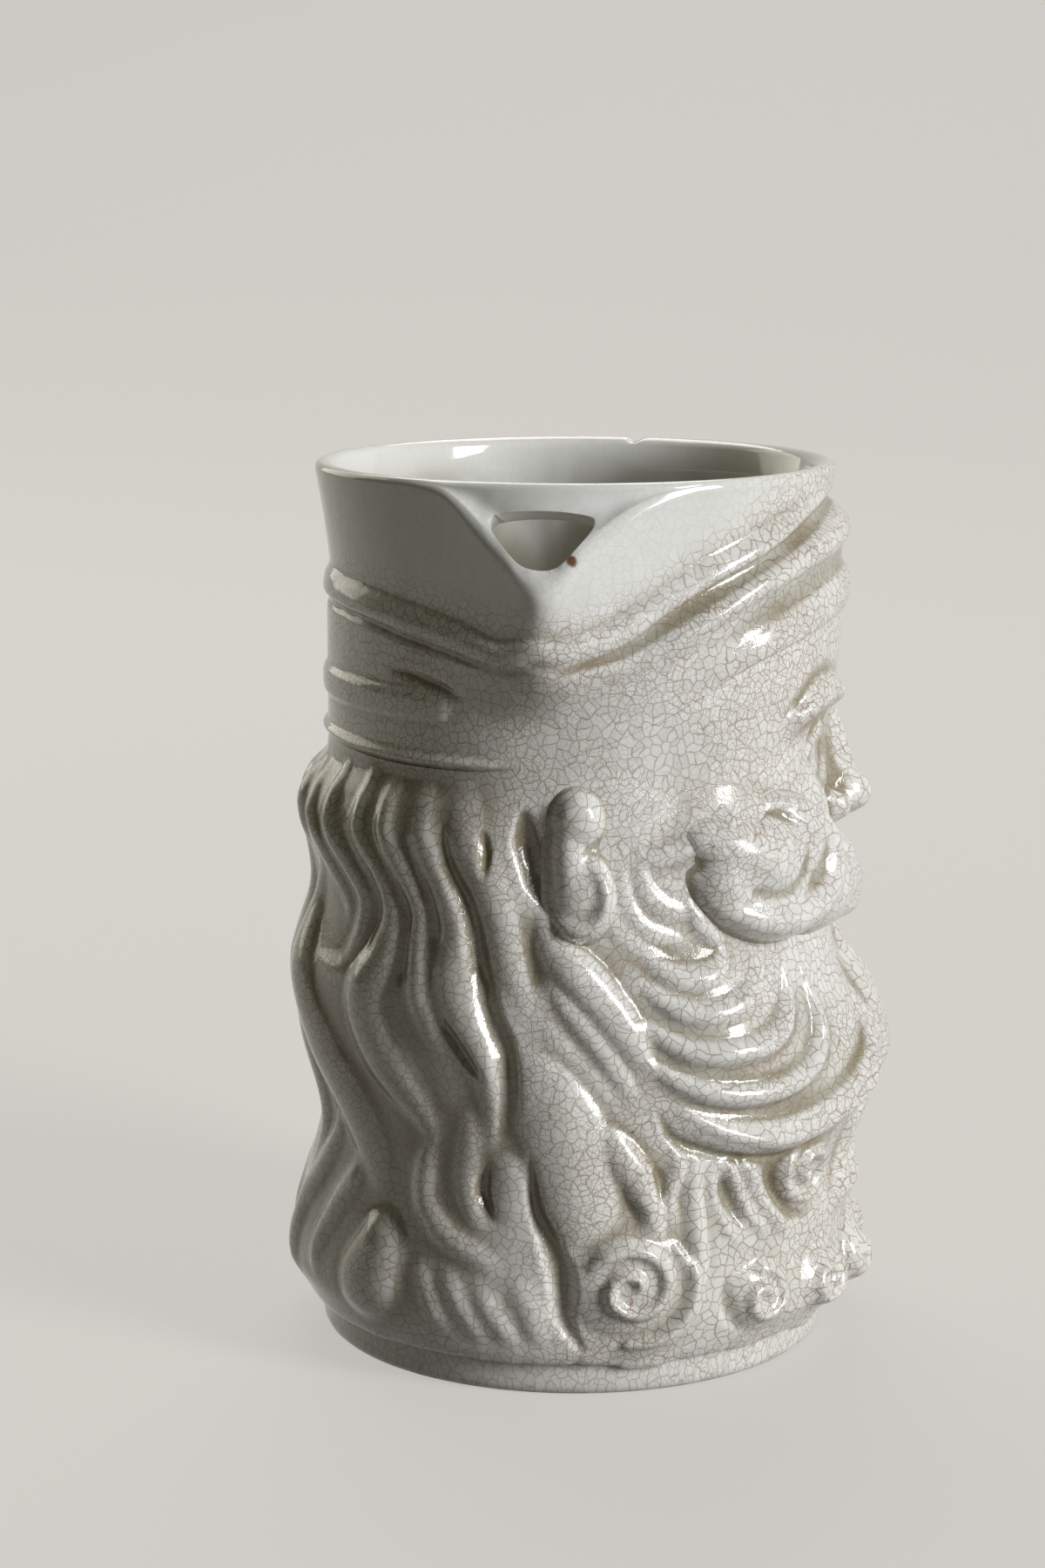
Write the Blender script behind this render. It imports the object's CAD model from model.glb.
import math

import bmesh
import bpy
import numpy as np
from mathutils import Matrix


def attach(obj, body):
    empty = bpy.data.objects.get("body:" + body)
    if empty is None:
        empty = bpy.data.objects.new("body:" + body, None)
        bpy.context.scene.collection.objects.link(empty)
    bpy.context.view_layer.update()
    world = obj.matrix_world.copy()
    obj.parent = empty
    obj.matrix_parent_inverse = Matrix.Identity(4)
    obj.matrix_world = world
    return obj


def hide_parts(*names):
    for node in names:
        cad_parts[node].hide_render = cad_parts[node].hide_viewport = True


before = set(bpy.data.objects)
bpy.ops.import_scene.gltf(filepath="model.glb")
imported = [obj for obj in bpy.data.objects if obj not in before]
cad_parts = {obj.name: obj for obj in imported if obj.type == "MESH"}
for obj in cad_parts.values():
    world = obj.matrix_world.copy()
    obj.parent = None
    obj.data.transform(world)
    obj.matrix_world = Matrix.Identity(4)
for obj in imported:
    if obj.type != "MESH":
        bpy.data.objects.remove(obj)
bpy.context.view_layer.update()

scene = bpy.context.scene
MM = 0.001

# The view and the studio. The camera stands a little above the jug, level with a seated eye, and
# looks at the side of the head. A pale table runs up into a pale wall, with a window-like lamp at
# the front right, and weak soft ones behind at the left and overhead.
camera_place = np.array([-9.95, -658.5, 231.9])
camera_looks_down = 10.77  # degrees
jug_middle = np.array([0, 0, 0.09])  # where the lamps aim, in metres
table_half_width = 4
table_profile = [(-3, 0), (1.2, 0), (1.6, 0.03), (1.95, 0.13), (2.2, 0.32), (2.35, 0.6), (2.4, 1), (2.4, 4)]


def node(tree, kind, inputs=(), **settings):
    """Adds a node, with its settings, and links or fills its inputs."""
    made = tree.nodes.new(kind)
    for key, value in settings.items():
        setattr(made, key, value)
    for key, value in dict(inputs).items():
        if isinstance(value, bpy.types.NodeSocket):
            tree.links.new(value, made.inputs[key])
        else:
            made.inputs[key].default_value = value
    return made


camera_data = bpy.data.cameras.new("camera")
camera_data.lens = 79.2
camera_data.sensor_width = 36
camera_data.clip_start = 0.05
camera_data.clip_end = 20
camera = bpy.data.objects.new("camera", camera_data)
camera.location = camera_place * MM
camera.rotation_euler = (math.radians(90 - camera_looks_down), 0, 0)
scene.collection.objects.link(camera)
scene.camera = camera
scene.view_settings.view_transform = "Standard"

sweep_sheet = bmesh.new()
edge_left = [sweep_sheet.verts.new((-table_half_width, y, z)) for y, z in table_profile]
edge = [sweep_sheet.edges.new(pair) for pair in zip(edge_left, edge_left[1:])]
across = bmesh.ops.extrude_edge_only(sweep_sheet, edges=edge)
edge_right = [g for g in across["geom"] if isinstance(g, bmesh.types.BMVert)]
bmesh.ops.translate(sweep_sheet, vec=(2 * table_half_width, 0, 0), verts=edge_right)
bmesh.ops.recalc_face_normals(sweep_sheet, faces=sweep_sheet.faces)
backdrop_mesh = bpy.data.meshes.new("table_and_wall")
sweep_sheet.to_mesh(backdrop_mesh)
sweep_sheet.free()
for face in backdrop_mesh.polygons:
    face.use_smooth = True
backdrop = bpy.data.objects.new("table_and_wall", backdrop_mesh)
scene.collection.objects.link(backdrop)
table_paint = bpy.data.materials.new("pale table paint")
table_paint.use_nodes = True
tree = table_paint.node_tree
paint = tree.nodes["Principled BSDF"]
paint.inputs["Base Color"].default_value = (0.155, 0.149, 0.132, 1)
paint.inputs["Roughness"].default_value = 0.8
paint.inputs["Specular IOR Level"].default_value = 0.2
pale = node(tree, "ShaderNodeEmission", {"Color": (0.60, 0.592, 0.565, 1), "Strength": 0.82})
rays = node(tree, "ShaderNodeLightPath").outputs
seen = node(tree, "ShaderNodeMath", {0: rays["Is Camera Ray"], 1: rays["Is Glossy Ray"]},
            operation="MAXIMUM")
shown = node(tree, "ShaderNodeMixShader", {0: seen.outputs[0], 2: pale.outputs[0]})
both = node(tree, "ShaderNodeAddShader", {0: paint.outputs[0], 1: shown.outputs[0]})
tree.links.new(both.outputs[0], tree.nodes["Material Output"].inputs["Surface"])
backdrop_mesh.materials.append(table_paint)

for name, place, size, power, warmth in [
        ("window", (3.15, -2.0, 1.44), (1.09, 2.01), 176.0, (0.975, 0.985, 1.0)),
        ("back fill", (-1.33, 1.17, 0.8), (1.3, 1.3), 9.0, (1.0, 0.97, 0.82)),
        ("overhead", (-0.15, 1.2, 1.65), (1.2, 1.2), 17.0, (1.0, 0.98, 0.9))]:
    lamp_data = bpy.data.lights.new(name, "AREA")
    lamp_data.shape = "RECTANGLE"
    lamp_data.size, lamp_data.size_y = size
    lamp_data.energy = power
    lamp_data.color = warmth
    lamp = bpy.data.objects.new(name, lamp_data)
    lamp.location = place
    toward = jug_middle - np.array(place)
    lamp.rotation_euler = (math.acos(-toward[2] / np.linalg.norm(toward)), 0,
                           math.atan2(toward[1], toward[0]) - math.pi / 2)
    scene.collection.objects.link(lamp)

room = bpy.data.worlds.new("room")
room.use_nodes = True
tree = room.node_tree
sky = tree.nodes["Background"]
sky.inputs["Color"].default_value = (0.87, 0.84, 0.62, 1)
sky.inputs["Strength"].default_value = 0.083
seen_sky = node(tree, "ShaderNodeBackground", {"Color": (0.50, 0.494, 0.474, 1)})
camera_ray = node(tree, "ShaderNodeLightPath").outputs["Is Camera Ray"]
either = node(tree, "ShaderNodeMixShader", {0: camera_ray, 1: sky.outputs[0], 2: seen_sky.outputs[0]})
tree.links.new(either.outputs[0], tree.nodes["World Output"].inputs["Surface"])
scene.world = room


# Base disc: the smooth foot ring with the jug's floor, cut from a rolled slab of white earthenware,
# glazed inside and out and wiped clean underneath. The two halves of the head stand round its raised
# inner rim. The glaze itself is made here, since this piece is the first to be dipped in it.
jug_height = 170
mouth_radius = 49.5
foot_radius = 49.5
wall = 5
seat = 7  # height where the head stands on the foot ring
lining = foot_radius - wall
around = 52  # radius in mm at which the glaze pattern runs round the jug at its true size


def smooth(x, low, high):
    """0 under low, 1 over high, and a soft step between them."""
    share = np.clip((np.asarray(x, float) - low) / (high - low), 0, 1)
    return share * share * (3 - 2 * share)


def turned(outline, steps):
    """A sheet turned all round the upright axis from (radius, height) points."""
    work = bmesh.new()
    first = [work.verts.new((r, 0, h)) for r, h in outline]
    line = [work.edges.new(pair) for pair in zip(first, first[1:])]
    bmesh.ops.spin(work, geom=first + line, axis=(0, 0, 1), cent=(0, 0, 0), angle=math.radians(360),
                   steps=steps, use_merge=True)
    bmesh.ops.remove_doubles(work, verts=work.verts, dist=1e-6)
    bmesh.ops.recalc_face_normals(work, faces=work.faces)
    return work


def as_piece(name, work):
    """The finished sheet as a named, smooth-shaded piece of the jug."""
    mesh = bpy.data.meshes.new(name)
    work.to_mesh(mesh)
    work.free()
    mesh.polygons.foreach_set("use_smooth", [True] * len(mesh.polygons))
    piece = bpy.data.objects.new(name, mesh)
    scene.collection.objects.link(piece)
    return piece


def points_of(mesh):
    """The mesh's vertices as rows of x, y, z."""
    flat = np.empty(len(mesh.vertices) * 3, np.float32)
    mesh.vertices.foreach_get("co", flat)
    return flat.reshape(-1, 3).astype(float)


def set_points(mesh, points):
    """Moves the vertices to points in millimetres."""
    mesh.vertices.foreach_set("co", (points * MM).astype(np.float32).ravel())
    mesh.update()


def polar(points):
    """Distance from the upright axis, azimuth in degrees, and height of each point."""
    x, y, z = points.T
    return np.hypot(x, y), np.degrees(np.arctan2(y, x)), z


def run_of(azimuth, height):
    """Where places lie in the glaze's flat pattern, in mm round the jug and up it."""
    return np.stack([np.radians(azimuth) * around, height], 1)


def read_out(items, what):
    """One whole number for each of a mesh's corners or faces."""
    numbers = np.empty(len(items), np.int32)
    items.foreach_get(what, numbers)
    return numbers


def lay_glaze(piece, flat_mm, crackle, recess, finish):
    """Stores how the glaze lies on a piece: its pattern's place in mm, how strongly it has crazed, and
    how deep in a hollow each point lies. Then it gives the piece its finish."""
    mesh = piece.data
    laid = np.asarray(flat_mm, float)[read_out(mesh.loops, "vertex_index")]
    # A face that spans the pattern's two ends is laid on past the far end in one piece.
    start = read_out(mesh.polygons, "loop_start")
    width = np.maximum.reduceat(laid[:, 0], start) - np.minimum.reduceat(laid[:, 0], start)
    torn = np.repeat(width > 3 * around, read_out(mesh.polygons, "loop_total"))
    laid[:, 0] += np.where(torn & (laid[:, 0] < 0), 2 * math.pi * around, 0)
    layer = mesh.uv_layers.new(name="glaze_run")
    layer.uv.foreach_set("vector", (laid * MM).astype(np.float32).ravel())
    for name, value in (("crackle", crackle), ("recess", recess)):
        held = mesh.attributes.new(name, "FLOAT", "POINT")
        spread = np.broadcast_to(np.asarray(value, np.float32), (len(mesh.vertices),))
        held.data.foreach_set("value", np.ascontiguousarray(spread))
    mesh.materials.append(finish)
    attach(piece, "root")


# The crazed glaze: soft blotches, olive stain in the hollows, two sizes of fine brown craze lines, a
# few dark specks, and the slight unevenness of a dipped glaze.
craze = bpy.data.node_groups.new("crazed glaze", "ShaderNodeTree")
for socket, kind, value in [
        ("Run", "Vector", None), ("Place", "Vector", None), ("Glaze", "Color", (0.715, 0.714, 0.69, 1)),
        ("Stain", "Color", (0.19, 0.17, 0.09, 1)), ("Line", "Color", (0.25, 0.14, 0.078, 1)),
        ("Cells per metre", "Float", 490.0), ("Crackle", "Float", 1.0), ("Recess", "Float", 0.0)]:
    made = craze.interface.new_socket(name=socket, in_out="INPUT", socket_type="NodeSocket" + kind)
    if value is not None:
        made.default_value = value
for socket, kind in [("Color", "Color"), ("Roughness", "Float"), ("Height", "Float")]:
    craze.interface.new_socket(name=socket, in_out="OUTPUT", socket_type="NodeSocket" + kind)
given = craze.nodes.new("NodeGroupInput").outputs
result = craze.nodes.new("NodeGroupOutput").inputs
warm_tint = (0.965, 0.958, 0.932, 1)
speck_brown = (0.11, 0.075, 0.05, 1)
stain_strength, halo_strength, line_strength, speck_strength = 0.87, 0.12, 0.82, 0.75


def maths(tree, operation, *values):
    """A Math node's result."""
    return node(tree, "ShaderNodeMath", dict(enumerate(values)), operation=operation).outputs[0]


def times(first, second):
    """Two values of the crazed glaze multiplied."""
    return maths(craze, "MULTIPLY", first, second)


def ramp(tree, value, low, high, to_low=0.0, to_high=1.0):
    """A value taken softly from one range to another."""
    made = node(tree, "ShaderNodeMapRange", {"Value": value, "From Min": low, "From Max": high,
                "To Min": to_low, "To Max": to_high}, interpolation_type="SMOOTHSTEP")
    return made.outputs["Result"]


def blend(tree, share, first, second, kind="MIX"):
    """Two colours mixed by a share."""
    made = node(tree, "ShaderNodeMix", {0: share, 6: first, 7: second}, data_type="RGBA", blend_type=kind)
    return made.outputs[2]


def soft_noise(scale, detail):
    """Soft blotches through the clay's whole body, at a scale in waves per metre."""
    made = node(craze, "ShaderNodeTexNoise", {"Vector": given["Place"], "Scale": scale, "Detail": detail})
    return made.outputs["Fac"]


wander = node(craze, "ShaderNodeTexNoise", {"Vector": given["Run"], "Scale": 210.0, "Detail": 2.0},
              noise_dimensions="2D")
shifted = node(craze, "ShaderNodeVectorMath", {0: wander.outputs["Color"], 1: (0.5, 0.5, 0.5)},
               operation="SUBTRACT")
stretched = node(craze, "ShaderNodeVectorMath", {0: shifted.outputs[0], "Scale": 0.0026}, operation="SCALE")
crazed_run = node(craze, "ShaderNodeVectorMath", {0: given["Run"], 1: stretched.outputs[0]},
                  operation="ADD").outputs[0]


def craze_cells(ratio, randomness, **settings):
    """The cells between the craze lines, smaller by a ratio than the main ones."""
    scale = times(given["Cells per metre"], ratio)
    return node(craze, "ShaderNodeTexVoronoi", {"Vector": crazed_run, "Scale": scale,
                "Randomness": randomness}, voronoi_dimensions="2D", **settings).outputs


to_main_line = craze_cells(1.0, 0.92, feature="DISTANCE_TO_EDGE")["Distance"]
to_small_line = craze_cells(1.83, 1.0, feature="DISTANCE_TO_EDGE")["Distance"]
patches, broad, ripple = soft_noise(62.0, 3.0), soft_noise(17.0, 2.0), soft_noise(150.0, 1.5)
main_line = times(ramp(craze, to_main_line, 0.062, 0.008), ramp(craze, broad, 0.3, 0.7, 0.72, 1.0))
small_line = times(ramp(craze, to_small_line, 0.085, 0.012), ramp(craze, patches, 0.36, 0.60, 0.18, 0.85))
line_mask = times(maths(craze, "MAXIMUM", main_line, small_line), given["Crackle"])
halo = times(ramp(craze, to_main_line, 0.24, 0.0), given["Crackle"])
in_hollow = times(ramp(craze, given["Recess"], 0.04, 0.8), ramp(craze, patches, 0.32, 0.7, 0.62, 1.0))
blotched = blend(craze, ramp(craze, broad, 0.35, 0.68), given["Glaze"], warm_tint, "MULTIPLY")
cell_tone = ramp(craze, craze_cells(1.0, 0.92)["Color"], 0.2, 0.8, 0.94, 1.04)
celled = blend(craze, given["Crackle"], blotched, blend(craze, 1.0, blotched, cell_tone, "MULTIPLY"))
stained = blend(craze, times(in_hollow, stain_strength), celled, given["Stain"])
haloed = blend(craze, times(halo, halo_strength), stained, given["Stain"])
lined = blend(craze, times(line_mask, line_strength), haloed, given["Line"])
speck_cells = node(craze, "ShaderNodeTexVoronoi", {"Vector": given["Place"], "Scale": 105.0})
speck = times(ramp(craze, speck_cells.outputs["Distance"], 0.045, 0.02), ramp(craze, patches, 0.56, 0.6))
specked = blend(craze, times(speck, speck_strength), lined, speck_brown)
rough = maths(craze, "ADD", times(line_mask, 0.16), ramp(craze, patches, 0.3, 0.7, 0.05, 0.105))
height = maths(craze, "SUBTRACT", ripple, times(line_mask, 0.09))
for value, socket in ((specked, "Color"), (rough, "Roughness"), (height, "Height")):
    craze.links.new(value, result[socket])


def glaze_finish(name):
    """A piece's own glaze, from the shared crazed glaze."""
    finish = bpy.data.materials.new(name)
    finish.use_nodes = True
    tree = finish.node_tree
    body = tree.nodes["Principled BSDF"]
    place = node(tree, "ShaderNodeTexCoord").outputs["Object"]
    run = node(tree, "ShaderNodeUVMap", uv_map="glaze_run").outputs["UV"]
    group = node(tree, "ShaderNodeGroup", {"Place": place, "Run": run}, node_tree=craze)
    for layer in ("crackle", "recess"):
        held = node(tree, "ShaderNodeAttribute", attribute_name=layer)
        tree.links.new(held.outputs["Fac"], group.inputs[layer.capitalize()])
    tree.links.new(group.outputs["Color"], body.inputs["Base Color"])
    tree.links.new(group.outputs["Roughness"], body.inputs["Roughness"])
    bump = node(tree, "ShaderNodeBump", {"Strength": 0.35, "Distance": 0.00035,
                "Height": group.outputs["Height"]})
    tree.links.new(bump.outputs["Normal"], body.inputs["Normal"])
    body.inputs["IOR"].default_value = 1.52
    return finish


def over_glaze(finish, share, colour):
    """Shows another colour in place of the glaze, by a share."""
    tree = finish.node_tree
    coloured = tree.nodes["Principled BSDF"].inputs["Base Color"]
    tree.links.new(blend(tree, share, coloured.links[0].from_socket, colour), coloured)


# Two outlines of (mm outwards, height) points, one from the foot's radius and one from the lining's.
outer_side = [(-2.1, 0), (-1.1, 0.3), (-0.4, 0.9), (-0.05, 1.8), (0, 3), (0, 4.2), (0.05, 5.2), (0.15, 6.0),
              (0.35, 6.6), (0.7, seat)]
inner_rim = [(1.5, seat), (-0.1, seat), (-0.1, 8.6), (-0.15, 10.0), (-0.6, 9.2), (-1.5, 8.0), (-2.9, 6.9),
             (-4.9, 6.0), (-7.7, 5.35), (-11.5, 5.05)]
disc_outline = [(0, 0), (30, 0)] + [(foot_radius + out, up) for out, up in outer_side]
disc_outline += [(lining + out, up) for out, up in inner_rim] + [(20, wall), (0, wall)]
base_disc = as_piece("base_disc_visual", turned(disc_outline, 240))
ring = points_of(base_disc.data)
ring_radius, ring_azimuth, ring_height = polar(ring)
on_side = (ring_radius > lining) & (ring_height < seat + 0.01)
set_points(base_disc.data, ring)
clean_foot = glaze_finish("crazed cream glaze, wiped foot")
tree = clean_foot.node_tree
place = node(tree, "ShaderNodeTexCoord").outputs["Object"]
height = node(tree, "ShaderNodeSeparateXYZ", {0: place}).outputs["Z"]
dust = node(tree, "ShaderNodeTexNoise", {"Vector": place, "Scale": 260.0, "Detail": 4.0}).outputs["Fac"]
edge_wander = maths(tree, "MULTIPLY", maths(tree, "SUBTRACT", dust, 0.5), 0.0012)
wiped = ramp(tree, maths(tree, "ADD", height, edge_wander), 0.0009, 0.0003)
bare_clay = blend(tree, ramp(tree, dust, 0.3, 0.75), (0.58, 0.51, 0.40, 1), (0.70, 0.65, 0.55, 1))
over_glaze(clean_foot, wiped, bare_clay)
gloss = tree.nodes["Principled BSDF"].inputs["Roughness"]
matt = maths(tree, "MAXIMUM", gloss.links[0].from_socket, maths(tree, "MULTIPLY", wiped, 0.7))
tree.links.new(matt, gloss)
lay_glaze(base_disc, run_of(ring_azimuth, ring_height * 0.7 + foot_radius - ring_radius),
          np.where(on_side, 0.7, 0.0),
          np.where(on_side, 0.55 * smooth(ring_height, 5.2, 7), 0.42 * smooth(ring_height, 4, 5)), clean_foot)
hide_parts("base_disc")


# Head: a hollow head of white earthenware, pressed as a face half and a hair half in a two-piece
# mould and luted together edge to edge, so that no seam is left. The locks of the hair and the
# rolled curls of the beard are moulded in its surface. The glaze runs thin over the crests.
grid_turn = 0.5  # degrees between the columns of the modelling grid
grid_rise = 0.45  # mm between its rows
grid_low, grid_high = 2.0, 172.0
grid_columns = int(round(360 / grid_turn))
grid_rows = int(round((grid_high - grid_low) / grid_rise)) + 1
mm_per_degree = math.radians(1) * around


def curve_through(points):
    """A smooth curve through (place, value) points, level at both ends."""
    at_x, at_y = np.array(points, float).T
    slope = np.zeros(len(at_x))
    slope[1:-1] = (at_y[2:] - at_y[:-2]) / (at_x[2:] - at_x[:-2])

    def at(place):
        place = np.clip(np.asarray(place, float), at_x[0], at_x[-1])
        i = np.clip(np.searchsorted(at_x, place, side="right") - 1, 0, len(at_x) - 2)
        run = at_x[i + 1] - at_x[i]
        t = (place - at_x[i]) / run
        return (at_y[i] * (2 * t**3 - 3 * t**2 + 1) + slope[i] * run * (t**3 - 2 * t**2 + t)
                + at_y[i + 1] * (3 * t**2 - 2 * t**3) + slope[i + 1] * run * (t**3 - t**2))
    return at


def on_spline(a, b, c, d, t):
    """The place at a share t of the way from b to c, on a smooth line from a to d through both."""
    return 0.5 * (2 * b + (c - a) * t + (2 * a - 5 * b + 4 * c - d) * t**2
                  + (3 * b - a - 3 * c + d) * t**3)


def carried_on(points):
    """The points, with one more set straight on at each end."""
    p = np.array(points, float)
    return np.vstack([2 * p[0] - p[1], p, 2 * p[-1] - p[-2]])


def flow(points, spacing):
    """Even samples along a smooth line through (azimuth, height, half width) points."""
    line = carried_on(points)
    samples = []
    for a, b, c, d in zip(line, line[1:], line[2:], line[3:]):
        count = max(2, int(np.hypot((c[0] - b[0]) * mm_per_degree, c[1] - b[1]) / spacing))
        samples += [on_spline(a, b, c, d, k / count) for k in range(count)]
    return np.array(samples + [line[-2]])


def dab(clay, azimuth, height, reach, proud, fullness=0.5, tall=1.0):
    """Presses a round or upright dab of clay on, where it stands higher than what is there."""
    wide = int(reach / mm_per_degree / grid_turn) + 2
    high = int(reach * tall / grid_rise) + 2
    column = int(round((azimuth + 180) / grid_turn))
    row = int(round((height - grid_low) / grid_rise))
    rows = np.arange(max(0, row - high), min(grid_rows, row + high + 1))
    columns = np.arange(column - wide, column + wide + 1)
    across = (columns * grid_turn - 180 - azimuth) * mm_per_degree
    up = (grid_low + rows * grid_rise - height) / tall
    near = 1 - (across[None, :]**2 + up[:, None]**2) / reach**2
    pressed = proud * np.clip(near, 0, 1)**fullness
    place = np.ix_(rows, columns % grid_columns)
    clay[place] = np.maximum(clay[place], pressed)


def lay_roll(clay, points, proud, ends=(0.35, 0.35), fullness=0.5, spacing=0.35):
    """Lays a roll of clay along a line, tapering off over a share of it at each end."""
    line = flow(points, spacing)
    step_length = np.hypot(np.diff(line[:, 0]) * mm_per_degree, np.diff(line[:, 1]))
    run = np.concatenate([[0], np.cumsum(step_length)])
    for (azimuth, height, half), t in zip(line, run / run[-1]):
        fade = 1.0
        for left, taper in ((t, ends[0]), (1 - t, ends[1])):
            if left < taper:
                fade = min(fade, math.sin(math.pi / 2 * (0.15 + 0.85 * left / taper)))
        dab(clay, azimuth, height, half * (0.55 + 0.45 * fade), proud * fade, fullness)


def rolled_curl(centre, radius, turns, start, hand, half, tip):
    """The line of a curl that winds in towards its middle, from a half width to a finer tip."""
    line = []
    for t in np.linspace(0, 1, int(20 * turns) + 1):
        r = (radius - half * 0.8) * (1 - t)**0.85 + tip * 0.55 * t
        turn = math.radians(start + hand * 360 * turns * t)
        across, up = r * math.cos(turn) / mm_per_degree, r * math.sin(turn)
        line.append((centre[0] + across, centre[1] + up, half * (1 - t) + tip * t))
    return line


def softened(clay, spread):
    """The clay rubbed soft with a wet sponge; spread in mm."""
    for axis, step in ((1, grid_turn * mm_per_degree), (0, grid_rise)):
        count = max(1, int(3 * spread / step + 0.5))
        weight = np.exp(-0.5 * (np.arange(-count, count + 1) * step / spread)**2)
        weight /= weight.sum()
        if axis:
            clay = sum(w * np.roll(clay, d, axis=1) for d, w in zip(range(-count, count + 1), weight))
        else:
            padded = np.pad(clay, ((count, count), (0, 0)), mode="edge")
            clay = sum(w * padded[d:d + grid_rows] for d, w in enumerate(weight))
    return clay


def both_sides(clay):
    """The modelled side and its mirror through the middle of the face."""
    return np.maximum(clay, np.roll(clay[:, ::-1], 1, axis=1))


def blank():
    """The modelling grid with no clay on it."""
    return np.zeros((grid_rows, grid_columns))


def read_off(clay, azimuth, height):
    """The clay's thickness at an azimuth and height."""
    x = ((np.asarray(azimuth) + 180) / grid_turn) % grid_columns
    y = np.clip((np.asarray(height) - grid_low) / grid_rise, 0, grid_rows - 1.001)
    i, j = np.floor(x).astype(int), np.floor(y).astype(int)
    u, v = x - i, y - j
    left, right = i % grid_columns, (i + 1) % grid_columns
    return ((1 - u) * (1 - v) * clay[j, left] + u * (1 - v) * clay[j, right]
            + (1 - u) * v * clay[j + 1, left] + u * v * clay[j + 1, right])


def cavities(clay):
    """How deep each place lies under the clay around it, where the glaze pools and stains; 1 is deep."""
    narrow = np.clip((softened(clay, 1.7) - clay) / 0.6, 0, 1.3)
    broad = np.clip((softened(clay, 4.5) - clay) / 1.6, 0, 1)
    return narrow * 0.7 + broad * 0.55


# Every line below is a list of (azimuth, height, half width), for the side with the pouring corner.
hair_locks = [
    ([(-172, 112, 4), (-173, 103, 3.6), (-170, 96, 3.2)], 2.6),
    ([(-185, 110, 5), (-186, 98, 5), (-184, 86, 6), (-186, 74, 7), (-180, 62, 7), (-170, 53, 6),
      (-163, 44, 5), (-166, 34, 4.5), (-174, 25, 4.5), (-173, 14, 4)], 3.4),
    ([(-164, 113, 3.2), (-162, 104, 3.2), (-155, 97, 3), (-148, 91, 2.6), (-146, 84, 2.4)], 2.9),
    ([(-153, 114, 3.2), (-152, 104, 3.4), (-145, 97, 3.4), (-140, 91, 3.2), (-142, 83, 3), (-148, 76, 2.6)],
     3.2),
    ([(-160, 96, 2.6), (-165, 88, 5), (-166, 78, 7), (-162, 68, 8.4), (-155, 60, 9), (-147, 53, 8.6),
      (-140, 46, 7.6), (-135, 38, 6.4), (-133, 31, 5)], 4.2),
    ([(-141, 114, 2.8), (-141, 104, 3.2), (-134, 97, 3.2), (-131, 90, 3.6), (-133, 82, 5), (-137, 74, 6.4),
      (-135, 66, 6.6), (-129, 59, 5.8), (-123, 53, 4.4), (-120, 46, 3.6), (-122, 39, 3)], 3.9),
    ([(-133, 114, 3), (-133, 105, 3.2), (-127, 97, 3.1), (-124, 91, 2.8), (-124, 84, 3.2), (-123, 76, 3.6),
      (-119, 67, 3.6), (-114, 60, 3)], 3.4),
    ([(-124, 113, 3.6), (-123, 104, 4), (-118, 96, 4), (-115, 88, 4.5), (-116, 80, 4.8), (-113, 72, 4.6),
      (-108.5, 64, 4.4), (-106.5, 56, 4), (-108, 48, 3.6), (-112, 41, 3)], 3.8),
    ([(-114, 114, 4.4), (-113, 105, 4.6), (-109, 98, 4.4), (-106, 91, 3.8), (-104, 84, 3.8),
      (-101, 76, 3.4), (-98, 70, 2.8)], 3.0),
    ([(-119, 52, 3), (-122, 44, 3.4), (-122, 37, 3.6), (-117, 31, 3.6), (-110, 27.5, 3.4), (-103, 23, 3)],
     3.6),
    ([(-111, 58, 3.2), (-112, 50, 3.6), (-113, 42, 3.4), (-111, 35, 3), (-106, 31, 2.6)], 3.2),
    ([(-104.5, 49, 3.4), (-102.6, 42, 5.4), (-104, 34, 4.4)], 3.2),
    ([(-140, 46, 2.8), (-143, 38, 3.8), (-150, 29, 3.8), (-155, 20, 3.2), (-151, 12, 2.6)], 3.2),
    ([(-156, 52, 3.5), (-154, 44, 4.2), (-160, 35, 4.4), (-168, 26, 4.8), (-169, 16, 4.4), (-161, 9, 3.2)],
     3.6),
    ([(-132, 32, 4.6), (-133, 26, 6.4), (-136, 19, 8.6), (-137, 14.5, 9)], 4.8),
    ([(-124, 29, 2.2), (-122, 22, 2.6), (-119, 15, 2.6), (-115, 9.5, 2)], 2.8),
    ([(-118, 27, 2.2), (-115, 20, 2.8), (-111, 13.5, 2.7), (-107, 9.5, 2)], 3.0),
    ([(-111, 24, 2.4), (-108, 18, 3), (-104, 12.5, 2.7), (-101, 9.5, 2)], 3.1),
    ([(-103, 25, 2.8), (-100, 19, 3.4), (-98, 13, 3), (-96, 10, 2.2)], 3.0),
]
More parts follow.
